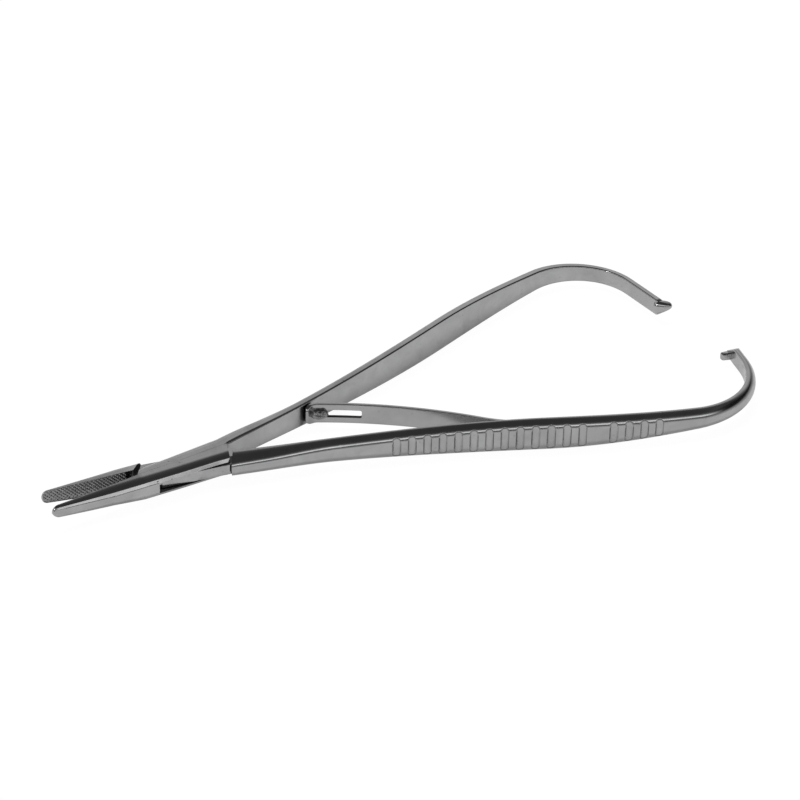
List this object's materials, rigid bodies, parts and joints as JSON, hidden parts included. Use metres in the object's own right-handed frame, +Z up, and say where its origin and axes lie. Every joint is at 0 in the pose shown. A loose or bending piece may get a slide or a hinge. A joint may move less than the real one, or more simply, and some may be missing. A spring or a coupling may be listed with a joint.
{
  "type": "surgical needle holder",
  "caption": "Slim stainless needle holder with a pinned box lock, cross-hatched jaws, bowed grooved arms that end in interlocking claws, and a slotted leaf spring between the arms.",
  "frame": {"origin": "on the lock pin's axis, at the lower flat face of the box lock", "axes": "+X along the instrument from the jaws to the arm ends, +Y across it to the far arm, +Z up along the lock pin, at right angles to both flat faces"},
  "size_m": [0.1725, 0.0775, 0.0079],
  "materials": {
    "forging": "polished satin",
    "spring": "polished",
    "fixings": "peened"
  },
  "bodies": {
    "through_body": {"through_half": "forging", "spring_screw": "fixings"},
    "box_body": {"box_half": "forging", "lock_pin": "forging", "slot_stud": "fixings"},
    "leaf_body": {"leaf_spring": "spring"}
  },
  "joints": [
    {"name": "box_lock", "type": "hinge", "parent": "through_body", "child": "box_body", "pos_m": [0, 0, 0.00268], "axis": [0, 0, -1], "range_deg": [0, 12.6], "stiffness_Nm_per_rad": 0.6, "springref_deg": -8.59},
    {"name": "leaf_flex", "type": "hinge", "parent": "through_body", "child": "leaf_body", "pos_m": [0.0752, -0.0212, 0.00268], "axis": [0, 0, 1], "range_deg": [0, 10.2], "deforming": ["leaf_spring"]}
  ],
  "couplings": [
    {"joint": "leaf_flex", "follows": "box_lock", "ratio": 0.8}
  ]
}
